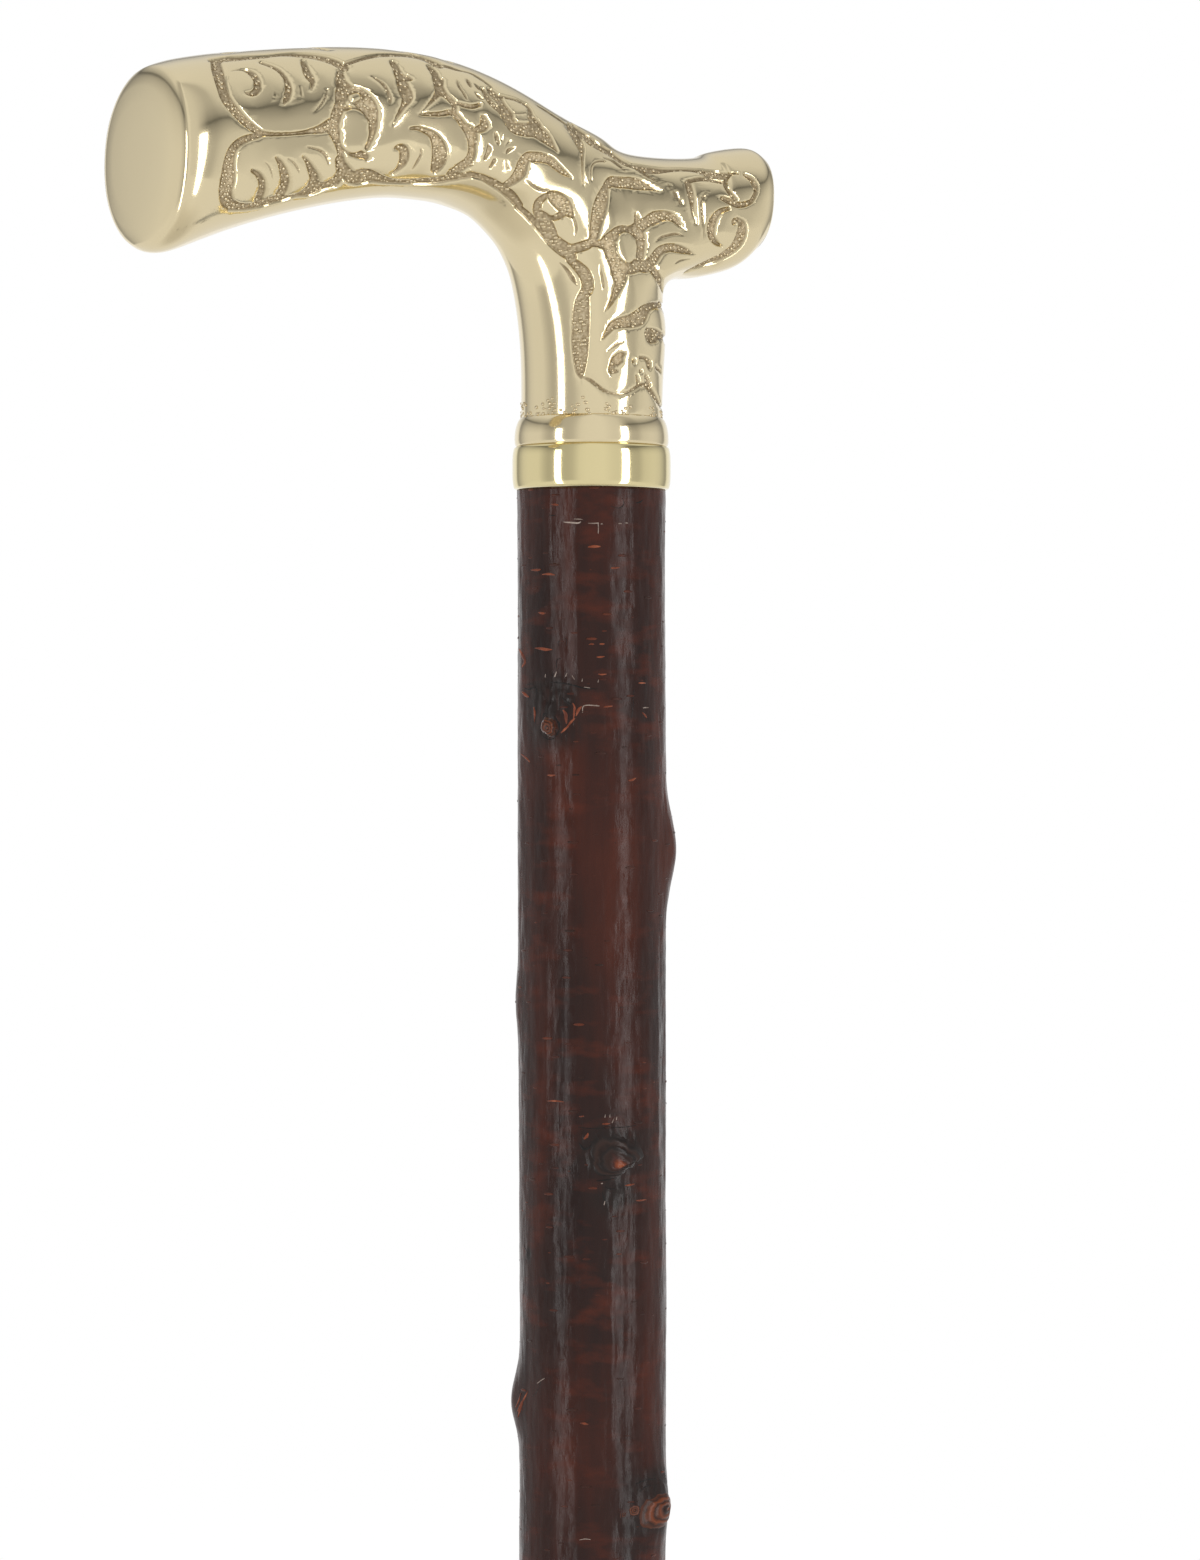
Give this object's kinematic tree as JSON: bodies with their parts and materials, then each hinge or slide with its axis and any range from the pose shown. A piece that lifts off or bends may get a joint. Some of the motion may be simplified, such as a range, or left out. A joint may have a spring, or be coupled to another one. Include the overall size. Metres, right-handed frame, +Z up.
{
  "type": "walking stick",
  "caption": "Walking stick with an embossed cast brass crook handle, a brass collar band, a knotted bark-on blackthorn shaft and a push-on rubber ferrule.",
  "frame": {"origin": "centre of the ferrule's foot on the ground, on the shaft axis", "axes": "+Z up along the shaft, grip towards -X, nose towards +X, handle symmetric about the plane Y = 0"},
  "size_m": [0.1113, 0.034, 0.915],
  "materials": {
    "handle_brass": "cast brass, relief with stippled ground, polished on the high parts",
    "collar_brass": "spun brass, polished",
    "stud_steel": "zinc plated steel",
    "bark": "blackthorn bark under a gloss varnish",
    "rubber": "moulded black rubber, matt",
    "washer_steel": "stamped steel"
  },
  "bodies": {
    "root": {"handle": "handle_brass", "collar_band": "collar_brass", "stud": "stud_steel", "shaft": "bark", "ferrule": "rubber", "ferrule_washer": "washer_steel"}
  },
  "joints": []
}
